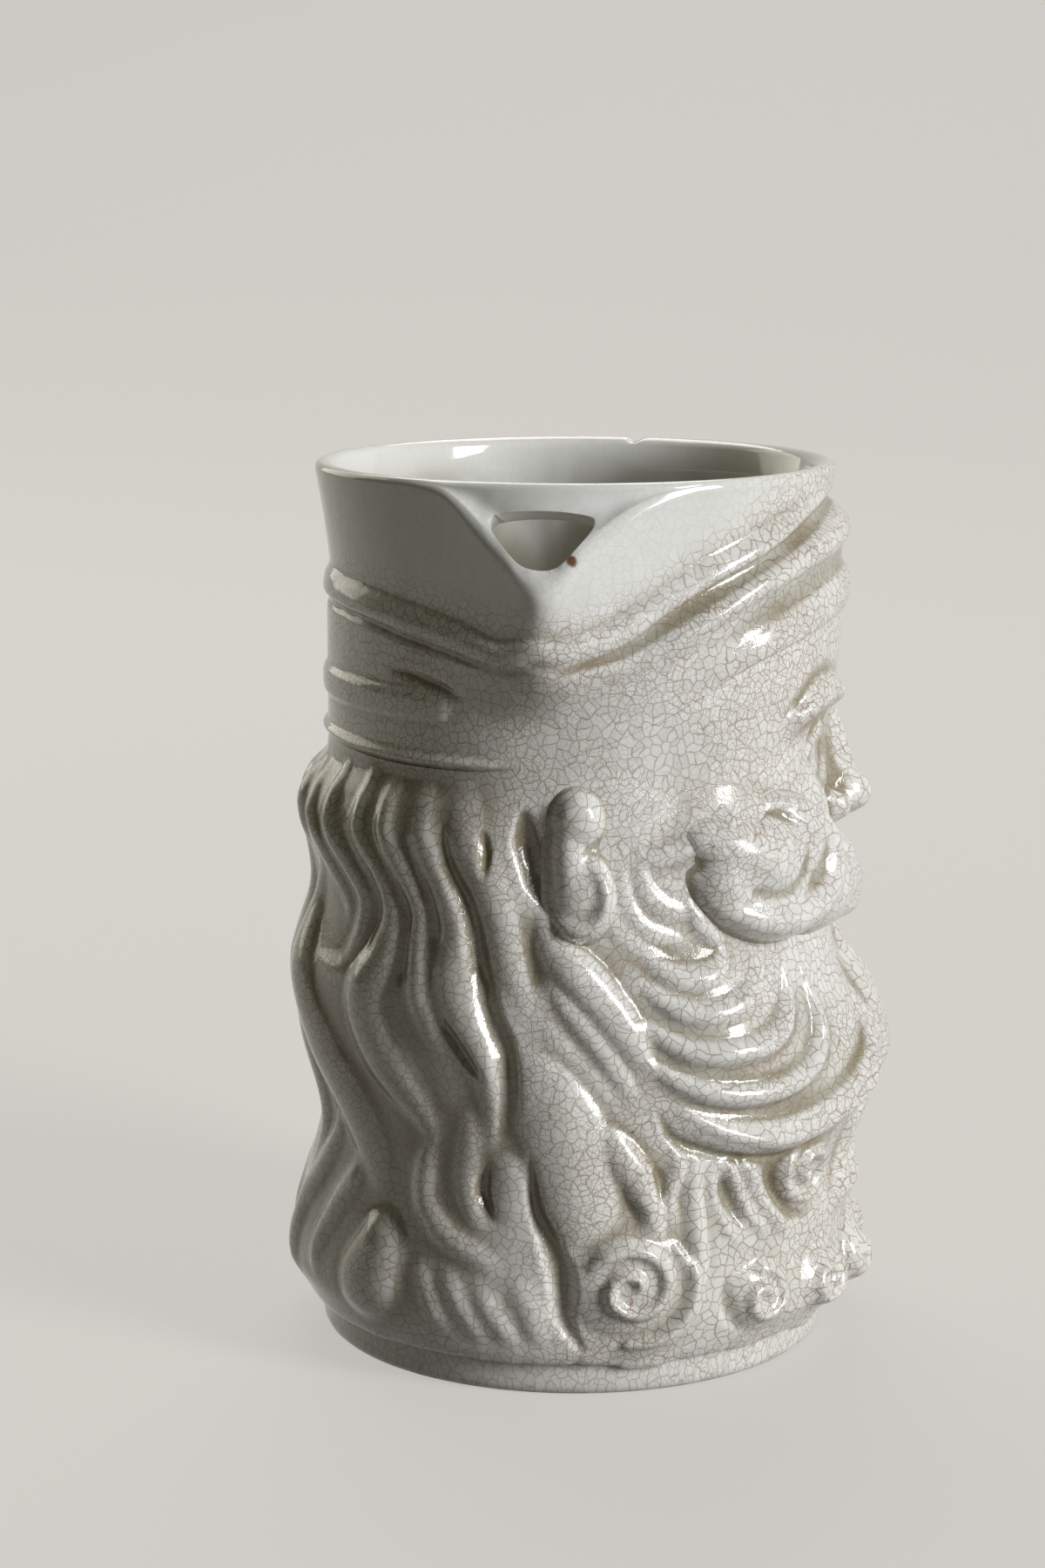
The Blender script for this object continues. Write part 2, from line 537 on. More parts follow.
beard_locks = [
    ([(-97, 92, 2.6), (-95, 86, 4), (-88, 79, 4.6), (-82, 72.5, 4.4), (-78, 66, 3.6), (-76, 60, 2.8)], 4.2),
    ([(-98, 84, 2.2), (-92, 75.5, 3), (-86, 68.5, 3), (-81, 61.5, 2.8), (-77, 55, 2.2)], 3.2),
    ([(-100, 77, 2.2), (-95, 70, 2.8), (-89, 64, 2.8), (-84, 58.5, 2.4), (-80, 53, 1.8)], 2.4),
    ([(-103, 67, 3.4), (-98, 62, 6.6), (-94, 54, 9), (-91.5, 46, 9.4), (-89, 38, 9), (-86, 31, 8.4)], 4.8),
    ([(-87, 55, 3), (-82, 48, 4), (-77.5, 42, 3.8), (-75, 35, 3.2), (-72.5, 29, 2.4)], 4.4),
    ([(-72.5, 51, 1.6), (-70, 45, 1.9), (-71.5, 39, 1.9), (-70, 31, 1.8)], 3.2),
    ([(-66, 51, 2), (-66.5, 41, 2.6), (-66, 33, 2.6), (-65.5, 26, 2.6), (-66.5, 19, 2.6), (-71, 13, 2.8),
      (-80, 10.5, 3.4), (-89, 12.5, 3.4)], 3.9),
    ([(-63, 47, 1.1), (-62, 38, 1.4), (-58.5, 31, 1.5), (-53, 27, 1.3)], 2.9),
    ([(-61, 49, 1.2), (-57, 40, 1.6), (-52, 32, 1.8), (-46, 26, 1.5)], 3.3),
    ([(-57, 48, 1.8), (-53, 40, 2.6), (-47.5, 32.5, 2.6), (-41, 26, 2.2)], 3.8),
    ([(-74, 59, 2.8), (-66, 52.5, 4), (-52, 48.5, 4.6), (-38, 49.5, 4.8), (-25, 54, 4.8), (-16, 62, 4.6),
      (-18, 72, 4)], 4.8),
    ([(-6, 80, 3.5), (-7, 70, 5), (-8, 60, 6), (-7, 51, 5.5)], 4.2),
    ([(-22, 47, 3), (-17, 40, 4.5), (-20, 33, 4.4), (-27, 28, 3.4)], 4.2),
    ([(-5, 50, 3), (-5, 41, 4.6), (-9, 33, 4.6), (-14, 27, 3.6)], 4.4),
]
curl_domes = [(-79.5, 23.2, 12.2, 4.5), (-38.5, 39.5, 9.0, 4.3), (-50.5, 17.5, 8.0, 4.1),
              (-31, 17, 8.2, 4.3), (-12, 17, 8.4, 4.6)]
strands = [
    ([(-76, 84, 2), (-70, 80.5, 2.2), (-62, 80.5, 2.2), (-58, 84, 1.8)], 1.6),
    ([(-77, 79, 2), (-70, 74.5, 2.3), (-62, 73.5, 2.4), (-54, 76, 2.3), (-50, 81, 1.9)], 1.9),
    ([(-77, 72, 2), (-69, 67, 2.4), (-60, 66, 2.5), (-50, 67.5, 2.4), (-43.5, 73, 2.1), (-42, 79, 1.6)],
     2.1),
    ([(-76, 64.5, 2), (-67, 59.5, 2.4), (-56, 57.5, 2.5), (-44, 59, 2.4), (-37, 64.5, 2.2), (-35, 72, 1.8),
      (-36, 78, 1.4)], 2.3),
    ([(-84, 101, 1.6), (-84, 93, 2), (-79.5, 87, 2), (-72, 83.5, 1.7)], 0.7),
    ([(-81, 101, 1.5), (-80, 94, 1.9), (-76, 89, 1.9), (-68, 86.5, 1.6)], 0.7),
    ([(-77, 103, 1.5), (-76, 97, 1.9), (-72, 93, 1.9), (-66, 91.5, 1.5)], 0.7),
    ([(-66, 93, 1.6), (-63, 89, 2.2), (-59, 85.5, 1.8)], 1.4),
    ([(-79, 101.2, 1.3), (-71, 102.4, 2.0), (-63, 104.8, 2.3), (-55, 108, 2.0)], 1.3),
    ([(-70, 56, 1.3), (-60, 50.5, 1.6), (-46, 47.5, 1.7), (-32, 50, 1.7), (-22, 56, 1.6), (-19, 66, 1.3)],
     0.9),
    ([(-11, 78, 1.6), (-12, 68, 2), (-13, 58, 2), (-11, 50, 1.6)], 1.0),
    ([(-3, 78, 1.5), (-3, 68, 1.9), (-3, 58, 1.9), (-2, 50, 1.5)], 1.0),
]
curl_lines = [
    (rolled_curl((-79.4, 22.8), 9.5, 1.45, 150, -1, 1.7, 1.0), 1.9),
    (rolled_curl((-38.5, 39.5), 7.8, 1.5, 130, 1, 1.6, 0.9), 1.6),
    (rolled_curl((-51, 17.5), 6.8, 1.3, 100, -1, 1.5, 0.9), 1.4),
    (rolled_curl((-31.5, 16.5), 6.8, 1.35, 60, -1, 1.5, 0.9), 1.5),
    (rolled_curl((-12.5, 16.5), 7.0, 1.3, 120, 1, 1.9, 1.0), 1.5),
    ([(-70.5, 30, 0.9), (-67.2, 24, 1.4), (-68.4, 17.6, 1.6), (-74, 12.4, 1.4), (-81, 11.2, 0.9)], 1.5),
]
tool_cuts = [
    ([(-119, 107, 1), (-117, 100, 1.6), (-113, 93, 1.8), (-110, 82, 2.2), (-107.5, 73, 2.6),
      (-104.5, 66, 2.6), (-103.5, 58, 2.8), (-105, 51, 1.8)], 1.5),
    ([(-101.5, 110.5, 1.8), (-100.5, 105, 3.2), (-98.5, 99, 3.2), (-96.5, 93.5, 2.0)], 2.3),
    ([(-118, 72, 0.9), (-113.5, 66.5, 1.3), (-109, 61, 0.8)], 1.4),
    ([(-110, 107, 0.8), (-109, 103, 1.2), (-109, 99, 0.8)], 1.3),
    ([(-99, 47, 1), (-98, 38, 1.6), (-95, 30, 2.4), (-93, 23, 2.8), (-92.5, 16, 2.2), (-89, 10, 1.4)], 1.9),
    ([(-79.5, 39, 1), (-78.5, 37, 1.5), (-77, 35, 0.9)], 0.8),
    ([(-75, 45, 0.9), (-74, 42, 1.5), (-74, 38, 1)], 0.9),
    ([(-60.5, 42, 0.9), (-58.5, 37, 1.6), (-55, 31.5, 1.0)], 1.1),
    ([(-49, 44, 0.8), (-47.5, 38, 1.6), (-43, 32, 1.2), (-36, 29.5, 0.9)], 1.0),
    ([(-59, 22, 1), (-58.5, 16, 1.8), (-55, 11, 1.2)], 0.9),
    ([(-108, 45, 1), (-109, 40, 1.5), (-107, 35, 1)], 1.4),
    ([(-74, 55, 1), (-70, 49.5, 1.2), (-58, 45.5, 1.3), (-44, 43.8, 1.2)], 1.2),
]

grid_azimuth = (np.arange(grid_columns) * grid_turn - 180)[None, :]
grid_height = (grid_low + np.arange(grid_rows) * grid_rise)[:, None]
away = np.abs(grid_azimuth)
face_across = away * mm_per_degree


def swelling(across, height, wide, tall, proud):
    """A soft swelling on both sides of the face, or a hollow where proud is under 0."""
    reach = np.hypot((face_across - across) / wide, (grid_height - height) / tall)
    return proud * 0.5 * (1 + np.cos(np.pi * np.clip(reach, 0, 1)))


locks, fine, cuts = blank(), blank(), blank()
for line, proud in hair_locks + beard_locks:
    lay_roll(locks, line, proud)
for azimuth, height, reach, proud in curl_domes:
    dab(locks, azimuth, height, reach, proud)
for line, proud in strands:
    lay_roll(fine, line, proud, fullness=0.75)
for line, proud in curl_lines:
    lay_roll(fine, line, proud, ends=(0.12, 0.05), fullness=0.6, spacing=0.25)
for line, depth in tool_cuts:
    lay_roll(cuts, line, depth, fullness=1.0)
locks, fine, cuts = map(both_sides, (locks, fine, cuts))
beard_swell = swelling(58 * mm_per_degree, 70, 21, 21, 2.6)
under_locks = 1.5 * np.maximum(smooth(away, 90, 108) * (1 - 0.8 * smooth(grid_height, 98, 117)),
                               1.3 * smooth(86 - grid_height, 0, 10) * smooth(away, 2, 20))
lock_strength = 0.92 - 0.2 * smooth(away, 90, 100) + 0.24 * smooth(away, 112, 128)
melt = 0.25  # mm over which a lock melts into the clay under it
locks = under_locks + lock_strength * melt * np.logaddexp(0, (locks - under_locks) / melt)
rubbed = smooth(away, 92, 106)
hair_relief = softened(locks, 0.5) * (1 - rubbed) + softened(locks, 0.85) * rubbed
hair_relief += 0.9 * softened(fine, 0.35) - softened(cuts, 0.4) + beard_swell

# The face is a calm, general one, with its brow, the foot of its nose and its chin at even steps.
brow, third = 125, 24
nose_foot, eye_line = brow - third, brow - 8
features, folds_of_face, face_cuts = blank(), blank(), blank()
lay_roll(features, [(-7, brow - 1.5, 3), (-15, brow + 2, 4), (-27, brow + 2.5, 4), (-37, brow - 2.5, 2.6)],
         2.4, fullness=0.8)
lay_roll(features, [(-5, nose_foot + 3, 3), (-7.5, nose_foot + 2.6, 3.1), (-9, nose_foot + 4.5, 2.4)], 4.2)
lay_roll(features, [(0, 90, 2.4), (-6, 90.4, 2.2), (-11, 91.5, 1.4)], 2.6)
dab(features, -18.5, eye_line, 5.8, 2.5, 0.5, 0.7)
dab(features, 0, nose_foot + 4.6, 5.4, 8.6, 0.5, 1.0)
for tuft in range(7):
    start = -8.5 - tuft * 4.2
    lay_roll(folds_of_face, [(start, brow - 0.5 + 0.35 * tuft - 0.09 * tuft**2, 1.1),
                             (start - 2.4, brow + 2.2 - 0.05 * tuft**2, 1.5),
                             (start - 5.6, brow + 3.6 - 0.13 * tuft**2, 1.0)], 1.1, fullness=0.8)
lay_roll(folds_of_face, [(-11, eye_line - 1, 0.8), (-14, eye_line + 2.5, 1.1), (-19, eye_line + 4.2, 1.3),
                         (-24.5, eye_line + 1.8, 1.1), (-27.5, eye_line - 1.5, 0.8)],
         1.9, fullness=0.8, ends=(0.25, 0.25))
lay_roll(folds_of_face, [(-11.5, eye_line - 1.4, 0.7), (-15, eye_line - 3.6, 1.0),
                         (-20, eye_line - 4.2, 1.1), (-26, eye_line - 2.2, 0.8)],
         1.0, fullness=0.8, ends=(0.25, 0.25))
dab(face_cuts, -4.2, nose_foot + 0.6, 1.7, 1.6, 1.0, 0.75)
lay_roll(face_cuts, [(-11.5, nose_foot + 1, 0.9), (-13, nose_foot + 5, 1.1), (-11, nose_foot + 9, 0.8)],
         1.0, fullness=1.0)
lay_roll(face_cuts, [(0, 93, 0.9), (-8, 93.4, 1.0), (-13, 92.5, 0.7)], 1.2, fullness=1.0)
features, folds_of_face, face_cuts = map(both_sides, (features, folds_of_face, face_cuts))
down = np.clip((brow - grid_height) / third, 0, 1)
nose_side = np.clip(1 - face_across / (4.6 + 3.6 * down), 0, 1)
nose_ends = smooth(grid_height, nose_foot - 1.5, nose_foot + 3.5) * smooth(brow + 4 - grid_height, 0, 12)
nose = nose_ends * (2.6 + 6.4 * down**1.3) * nose_side**2 * (3 - 2 * nose_side)
eye_hollow, cheekbone = swelling(15.5, eye_line, 11.5, 8.5, -3.2), swelling(24, nose_foot + 3, 13, 13, 3.0)
forehead, temple = swelling(0, brow + 12, 26, 14, 0.8), swelling(62, 116, 15, 13, -1.2)
cheek = swelling(48, 104, 18, 11, 3.6)
face_relief = eye_hollow + cheekbone + forehead + temple + cheek
face_relief += np.maximum(softened(nose, 0.9), softened(features, 0.6))
face_relief += 0.8 * softened(folds_of_face, 0.4) - softened(face_cuts, 0.4)
face_relief *= smooth(grid_height, 84, 93)

outline_back = curve_through([(7, 1.0), (15, 4.2), (28, 1.6), (45, -2.2), (60, 1), (74, 2.6), (89, -1),
                              (104, 1.8), (110, 0.5), (115, -2.2)])
outline_side = curve_through([(7, 0.8), (20, 2), (60, 1.5), (90, 0.5), (115, -0.5), (130, 0.5)])
outline_front = curve_through([(7, 1.1), (13, 5), (22, 3), (30, 3.5), (38, 2.2), (54, 9.2), (66, 6.4),
                               (76, 1), (96, 0.5), (118, -1), (130, 0.5), (142, 1)])
cap_edge_line = curve_through([(0, 142), (45, 137.5), (75, 126), (100, 118.5), (125, 117), (180, 118)])


def cap_edge(azimuth):
    """Height of the cap's lower edge round the head."""
    return cap_edge_line(np.abs(azimuth))


def plain_head(azimuth, height):
    """Radius of the head without its relief."""
    facing = np.cos(np.radians(azimuth))
    end = np.where(facing > 0, outline_front(height), outline_back(height))
    return mouth_radius + outline_side(height) + (end - outline_side(height)) * np.abs(facing)**1.5


def hanging_foot(azimuth):
    """How far down the locks and curls hang over the foot ring."""
    return seat - 1.7 * np.clip((read_off(hair_relief, azimuth, 11.5) - 0.9) / 3.2, 0, 1)


def head_surface(azimuth, height):
    """Radius of the head with its hair, beard and face."""
    off = np.abs(azimuth)
    under = np.clip((height - hanging_foot(azimuth)) / 3.4, 0, 1)
    near_ear = smooth(off, 88, 100) * (1 - smooth(off, 124, 142))
    ends = np.sqrt(1 - (1 - under)**2) * smooth(cap_edge(azimuth) + 1.5 - height, 0, 5 + 9 * near_ear)
    hair = read_off(hair_relief, azimuth, height) * ends
    return plain_head(azimuth, height) + hair + read_off(face_relief, azimuth, height)


def around_z(radius, azimuth, height):
    """Points from radius, azimuth and height."""
    turn = np.radians(azimuth)
    upright = np.broadcast_to(height, np.shape(radius))
    return np.stack([radius * np.cos(turn), radius * np.sin(turn), upright], -1)


def rolled_strip(name, columns, rows):
    """A flat strip of clay to bend round the jug, with each point's share of the turn and its row."""
    work = bmesh.new()
    bmesh.ops.create_grid(work, x_segments=columns, y_segments=rows, size=0.5)
    piece = as_piece(name, work)
    place = points_of(piece.data) + 0.5
    return piece, place[:, 0], np.rint(place[:, 1] * rows).astype(int)


def closed_up(mesh):
    """Joins the strip's meeting edges, and closes its open sides."""
    work = bmesh.new()
    work.from_mesh(mesh)
    bmesh.ops.remove_doubles(work, verts=work.verts, dist=0.002 * MM)
    open_edges = {e for e in work.edges if e.is_boundary}
    while open_edges:
        loop, grown = set(), {open_edges.pop()}
        while grown:
            loop |= grown
            grown = {e for g in grown for v in g.verts for e in v.link_edges if e in open_edges}
            open_edges -= grown
        bmesh.ops.contextual_create(work, geom=list(loop))
    bmesh.ops.recalc_face_normals(work, faces=work.faces)
    sharpest_soft_edge = 1.15  # radians between its two faces
    for edge in work.edges:
        edge.smooth = edge.calc_face_angle(0) < sharpest_soft_edge
    work.to_mesh(mesh)
    work.free()
    mesh.polygons.foreach_set("use_smooth", [True] * len(mesh.polygons))


def follow_surface(mesh, surface, on_sheet, azimuth, height):
    """Shades the sheet by the whole surface that it is a part of, so no line shows where two pieces meet."""
    step = 0.12

    def beside(turn, rise):
        return around_z(surface(azimuth + turn, height + rise), azimuth + turn, height + rise)

    normal = np.cross(beside(step, 0) - beside(-step, 0), beside(0, step) - beside(0, -step))
    normal /= np.linalg.norm(normal, axis=1)[:, None]
    normal[~on_sheet] = 0
    corner, count = read_out(mesh.loops, "vertex_index"), read_out(mesh.polygons, "loop_total")
    corners_on = np.add.reduceat(on_sheet[corner].astype(int), read_out(mesh.polygons, "loop_start"))
    shown = np.repeat(corners_on == count, count)
    mesh.normals_split_custom_set(np.where(shown[:, None], normal[corner], 0).tolist())


head_glaze = glaze_finish("crazed cream glaze")
side_shade, back_shade = 1 + smooth(away, 94, 106), 0.33 * smooth(away, 96, 112)
foot_light = 0.46 + 0.54 * smooth(grid_height + 0.5 * np.clip(away - 100, 0, 40), 14, 52)
head_cavity = (cavities(hair_relief + face_relief) * side_shade + back_shade) * foot_light
shell_rows, shell_lining_rows = 236, 16
last_row = shell_rows + shell_lining_rows + 3
shell_step = 50.35  # radius in mm of the step under the shells, where they sit on the foot ring
for name, start in (("face_half_shell", -90), ("hair_half_shell", 90)):
    half, turn, step = rolled_strip(name + "_visual", 300, last_row)
    azimuth = (start + turn * 180 + 180) % 360 - 180
    outer = (step <= shell_rows) | (step == last_row)
    share = np.where(step == last_row, 0, step / shell_rows)
    lining_share = np.clip(1 - (step - shell_rows - 1) / shell_lining_rows, 0, 1)
    foot, top = hanging_foot(azimuth), cap_edge(azimuth) + 0.2
    height = np.where(outer, foot + (top - foot) * share, seat + (top - seat) * lining_share)
    inner_radius = np.where(step == last_row - 1, shell_step, lining)
    radius = np.where(outer, head_surface(azimuth, height), inner_radius)
    set_points(half.data, around_z(radius, azimuth, height))
    closed_up(half.data)
    radius, azimuth, height = polar(points_of(half.data) / MM)
    outer = radius > lining + 1.5
    on_surface = radius > head_surface(azimuth, height) - 0.05
    on_sheet = outer & on_surface & (height > hanging_foot(azimuth) + 0.5)
    follow_surface(half.data, head_surface, on_sheet, azimuth, height)
    lay_glaze(half, run_of(azimuth, height), np.where(outer, 1.0, 0.1),
              np.where(outer, read_off(head_cavity, azimuth, height), 0.42), head_glaze)
    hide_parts(name)


# Ears: each is a small pad of clay, modelled as an upper fold that turns into a hooked lobe, pressed
# onto the side of the head over the joint between the two halves and smoothed in round its edge.
ear_folds = blank()
dab(ear_folds, -89.9, 109.6, 4.9, 3.7, 0.5, 1.06)
lay_roll(ear_folds, [(-91.6, 108, 3.2), (-91.6, 103, 3.4), (-91, 98, 3.6), (-90.4, 94, 3.4)],
         3.1, ends=(0.1, 0.3), fullness=0.6)
dab(ear_folds, -89.2, 96.6, 5.6, 3.1, 0.6, 1.4)
lay_roll(ear_folds, [(-88.8, 103.4, 1.3), (-86, 100.4, 1.9), (-84.5, 96.4, 2.2), (-85, 92.6, 2.4),
                     (-87.8, 90, 2.5), (-91.8, 89.9, 2.3), (-94.6, 92, 1.8)], 4.2, ends=(0.35, 0.25))
ear_relief = both_sides(softened(ear_folds, 0.75))
ear_cavity = cavities(ear_relief)
ear_middle = (-89.6, 100.5)
ear_rim = [(-97.6, 108), (-96.2, 112.6), (-92.6, 115.6), (-87.8, 115.6), (-84.4, 112.8), (-83.6, 108.5),
           (-85, 104.6), (-83.2, 101), (-81.6, 97), (-81.6, 92), (-83.8, 87.8), (-88, 85.8), (-92.5, 85.8),
           (-96.2, 88.4), (-97.6, 92.5), (-97.8, 98), (-97.8, 103)]


def outline_reach(spots):
    """How far a closed outline through the given points lies from its middle, for any angle in degrees."""
    p = np.array(spots, float)
    t = np.linspace(0, 1, 24, endpoint=False)[None, :, None]
    a, b, c, d = (np.roll(p, k, axis=0)[:, None] for k in (1, 0, -1, -2))
    x, y = on_spline(a, b, c, d, t).reshape(-1, 2).T
    line_angle = np.degrees(np.arctan2(y, x))
    order = np.argsort(line_angle)
    return lambda angle: np.interp(angle, line_angle[order], np.hypot(x, y)[order], period=360)


def pressed_on(name, side, centre, rim, relief, cavity, tuck, turn_under, thickness):
    """A pad of clay of some thickness pressed onto the head, with its relief on it and its edge rolled
    under all round: by tuck in mm, and as far round as turn_under in degrees."""
    rings, spokes, back_rings = 64, 200, 6
    edge_start = 0.72  # share of the way out at which the front turns into its edge
    sunk = 2.0  # mm that the pad's back lies in the head
    outline = [(i / rings, 1) for i in range(rings + 1)]
    outline += [(1 - (i + 1) / back_rings, 0) for i in range(back_rings)]
    blank_pad = turned(outline, spokes)
    if side > 0:
        bmesh.ops.reverse_faces(blank_pad, faces=blank_pad.faces)
    pad = as_piece(name + "_visual", blank_pad)
    share, angle, front = polar(points_of(pad.data))
    reach = outline_reach([((a - centre[0]) * mm_per_degree, h - centre[1]) for a, h in rim])(angle)
    bend = np.clip((share - edge_start) / (1 - edge_start), 0, 1) * math.radians(turn_under)
    front_across = (reach - tuck) * np.clip(share / edge_start, 0, 1) + tuck * np.sin(bend)
    back_across = share * (reach - tuck + tuck * math.sin(math.radians(turn_under)))
    across = np.where(front > 0.5, front_across, back_across)
    azimuth = centre[0] + across * np.cos(np.radians(angle)) / mm_per_degree
    height = centre[1] + across * np.sin(np.radians(angle))
    raised = read_off(relief, azimuth, height) * np.maximum(np.cos(bend), -0.2) - 0.7 * np.sin(bend)**2
    radius = plain_head(azimuth, height) + thickness + np.where(front > 0.5, raised, -sunk)
    set_points(pad.data, around_z(radius, azimuth * -side, height))
    lay_glaze(pad, run_of(azimuth * -side, height), 1.0,
              read_off(cavity, azimuth, height) + 0.5 * smooth(share, 0.86, 1), head_glaze)
    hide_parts(name)


for name, side in (("ear_pouring_side", -1), ("ear_handle_side", 1)):
    pressed_on(name, side, ear_middle, ear_rim, ear_relief, ear_cavity, 1.8, 84, 0.5)


# Moustache: two full rolls of clay, each pressed on under the nose and swept outwards into a curled
# end on the cheek. The strands are drawn along the roll with a wire tool.
whisker_rolls, whisker_strands, whisker_cuts = blank(), blank(), blank()
lay_roll(whisker_rolls, [(-2.5, 89, 4), (-9, 89.2, 6), (-18, 90, 7.4), (-28, 91, 8.2), (-38, 92.5, 8.6)],
         6.2, ends=(0.25, 0.3))
lay_roll(whisker_rolls, [(-64.5, 98.6, 2.4), (-61.5, 94, 3.3), (-55, 90.6, 4.2), (-46, 88.8, 4.8),
                         (-37, 89.4, 5.0), (-30, 92.4, 4.9), (-27.5, 97.6, 4.6), (-28.5, 102.6, 4.0),
                         (-33, 107, 3.2), (-40, 109.6, 2.4), (-47, 110, 1.8)], 7.0, ends=(0.4, 0.5))
lay_roll(whisker_rolls, [(-68, 105.6, 2.6), (-63, 104.6, 4.4), (-56, 102.6, 6.2), (-49.5, 100.6, 6.8),
                         (-46, 100, 6)], 6.6, ends=(0.85, 0.2))
dab(whisker_rolls, -48.4, 100, 8.4, 6.9, 0.55)
dab(whisker_rolls, -46, 96.4, 12.6, 5.7)
dab(whisker_rolls, -56.5, 97.4, 7.6, 5.4)
dab(whisker_rolls, -37, 101.6, 8.6, 5.6)
lay_roll(whisker_strands, [(-2.5, 86.2, 1.4), (-8, 85.4, 1.9), (-15, 85.4, 2.1), (-22, 86.6, 1.9)],
         1.2, fullness=0.8)
lay_roll(whisker_strands, [(-2.5, 91.4, 1.3), (-8, 91.8, 1.7), (-14, 93.8, 1.7), (-18, 97.4, 1.4)],
         1.1, fullness=0.8)
lay_roll(whisker_cuts, [(-48, 108, 0.7), (-42.5, 107, 1.1), (-38.6, 104, 1.4), (-38.2, 100, 1.6),
                        (-40.6, 96.4, 1.6), (-46, 94, 1.5), (-53, 94.8, 1.2), (-57.5, 96.6, 0.6)],
         0.9, fullness=1.0)
whisker_relief = softened(whisker_rolls, 0.8) + 0.8 * softened(whisker_strands, 0.45)
whisker_relief = both_sides(whisker_relief - softened(whisker_cuts, 0.4))
whisker_cavity = cavities(whisker_relief)
whisker_middle = (-37, 95)
whisker_rim = [(-69, 100.5), (-66.6, 94.6), (-62.4, 89), (-55, 84.6), (-45, 82.2), (-35, 81.6), (-24, 81.6),
               (-13, 82), (-5, 82.8), (-1.2, 86), (-1.0, 91), (-5, 95.2), (-11, 98.4), (-17, 102.6),
               (-24, 107.4), (-34, 111), (-46, 112.4), (-58, 111.6), (-66.4, 107.2)]
for name, side in (("moustache_pouring_side", -1), ("moustache_handle_side", 1)):
    pressed_on(name, side, whisker_middle, whisker_rim, whisker_relief, whisker_cavity, 3.0, 112, 0.3)


# Cap band: the soft band of the cap under the hat, one strip of clay laid round the top of the head.
# It lies on the hair as a rolled edge, swells into folds over the forehead, and melts into the temple.
corner_azimuth = 97  # of the pouring corner at one side, and of the corner over the handle at the other
corner_reach = 10
corner_foot_reach = 8.5
hat_seam_line = curve_through([(0, 158), (40, 157), (61, 150), (80, 141), (89, 138), (96, 137.2),
                               (104, 138), (119, 140.4), (148, 143.5), (180, 144.5)])
crest_drop_front = curve_through([(0, 18.4), (3, 17.4), (7, 12.6), (12, 9.0), (18, 5.4), (24, 3.2),
                                  (30, 2.0), (37, 1.3), (46, 1.1)])
crest_drop_back = curve_through([(0, 18.4), (3, 17.0), (6, 14.0), (10, 10.8), (14, 7.4), (18, 4.2),
                                 (22, 2.1), (28, 1.3), (36, 1.1)])


def cornered(azimuth, round_part, reach, rounding=3.0):
    """Radius of a round wall that is drawn out to a corner over each side."""
    off_corner = np.hypot(np.abs(azimuth) - corner_azimuth, rounding)
    touch = np.arccos(round_part / (round_part + reach))
    return round_part / np.cos(np.maximum(0, touch - np.radians(off_corner)))


def crest_of(azimuth):
    """Radius and height of the crest where the hat's wall turns into its roof."""
    off = np.abs(azimuth) - corner_azimuth
    drop = np.where(off < 0, crest_drop_front(-off), crest_drop_back(off))
    return cornered(azimuth, mouth_radius, corner_reach + 0.8), jug_height - drop


folds, fold_cuts, strap = blank(), blank(), blank()
lay_roll(folds, [(-205, 147.3, 2.8), (-180, 147.3, 2.8), (-148, 146, 2.8), (-128, 143.5, 2.8),
                 (-116, 141.6, 2.7), (-106, 139.2, 2.5), (-99, 140.6, 2.2), (-94, 140.4, 2.0),
                 (-89, 141.6, 1.9), (-84, 142.8, 1.9), (-73, 148.4, 1.9), (-64, 152.5, 2.0),
                 (-52, 156.6, 2.1), (-40, 160.2, 2.1), (-30, 162.6, 2.0), (-20, 164.4, 1.7)],
         1.35, ends=(0.05, 0.14), fullness=0.6)
lay_roll(folds, [(-83, 135.4, 1.4), (-77, 138, 1.7), (-71, 141, 1.9), (-60, 146.2, 2.1), (-50, 150.4, 2.4),
                 (-38, 154.2, 2.8), (-25, 157, 3.2), (-12, 158.9, 3.4), (0, 159.4, 3.4)],
         1.75, ends=(0.75, 0), fullness=0.6)
lay_roll(folds, [(-64, 133.5, 2.5), (-50, 138.8, 3.4), (-34, 143.2, 3.9), (-18, 145.9, 4.1),
                 (0, 146.6, 4.1)], 1.3, ends=(0.4, 0), fullness=0.7)
lay_roll(fold_cuts, [(-94, 136.8, 1.0), (-88, 138.2, 1.2), (-80, 140.6, 1.5), (-72, 144.7, 1.8),
                     (-61, 150, 1.9), (-51, 153.9, 2.0), (-39, 157.8, 2.0), (-30, 160, 1.9),
                     (-15, 162.4, 1.9), (0, 163.3, 1.9)], 1.1, ends=(0.2, 0), fullness=1.0)
lay_roll(fold_cuts, [(-62, 140, 2), (-48, 145.3, 2.4), (-34, 148.8, 2.6), (-18, 151.6, 2.8),
                     (0, 152.6, 2.8)], 0.6, ends=(0.3, 0), fullness=1.0)
lay_roll(fold_cuts, [(-205, 144, 1.0), (-180, 144, 1.0), (-148, 143, 1.0), (-132, 140.8, 1.0),
                     (-119, 138.8, 1.0), (-107, 137, 1.0), (-99, 136.2, 1.0)], 0.55, ends=(0.05, 0.1),
         fullness=1.0)
lay_roll(strap, [(-205, 128.6, 2.8), (-150, 128.6, 2.8), (-130, 128.5, 2.7), (-120.5, 128.3, 2.5)],
         0.9, ends=(0.02, 0.02), fullness=0.3)
lay_roll(fold_cuts, [(-136, 134.4, 0.7), (-130, 134, 1.2), (-122.5, 132.6, 1.3), (-115, 130.4, 0.8)],
         0.9, fullness=1.0)
cap_relief = softened(both_sides(folds), 0.45) - softened(both_sides(fold_cuts), 0.45)
cap_relief += softened(both_sides(strap), 0.35)
cap_cavity = cavities(cap_relief)


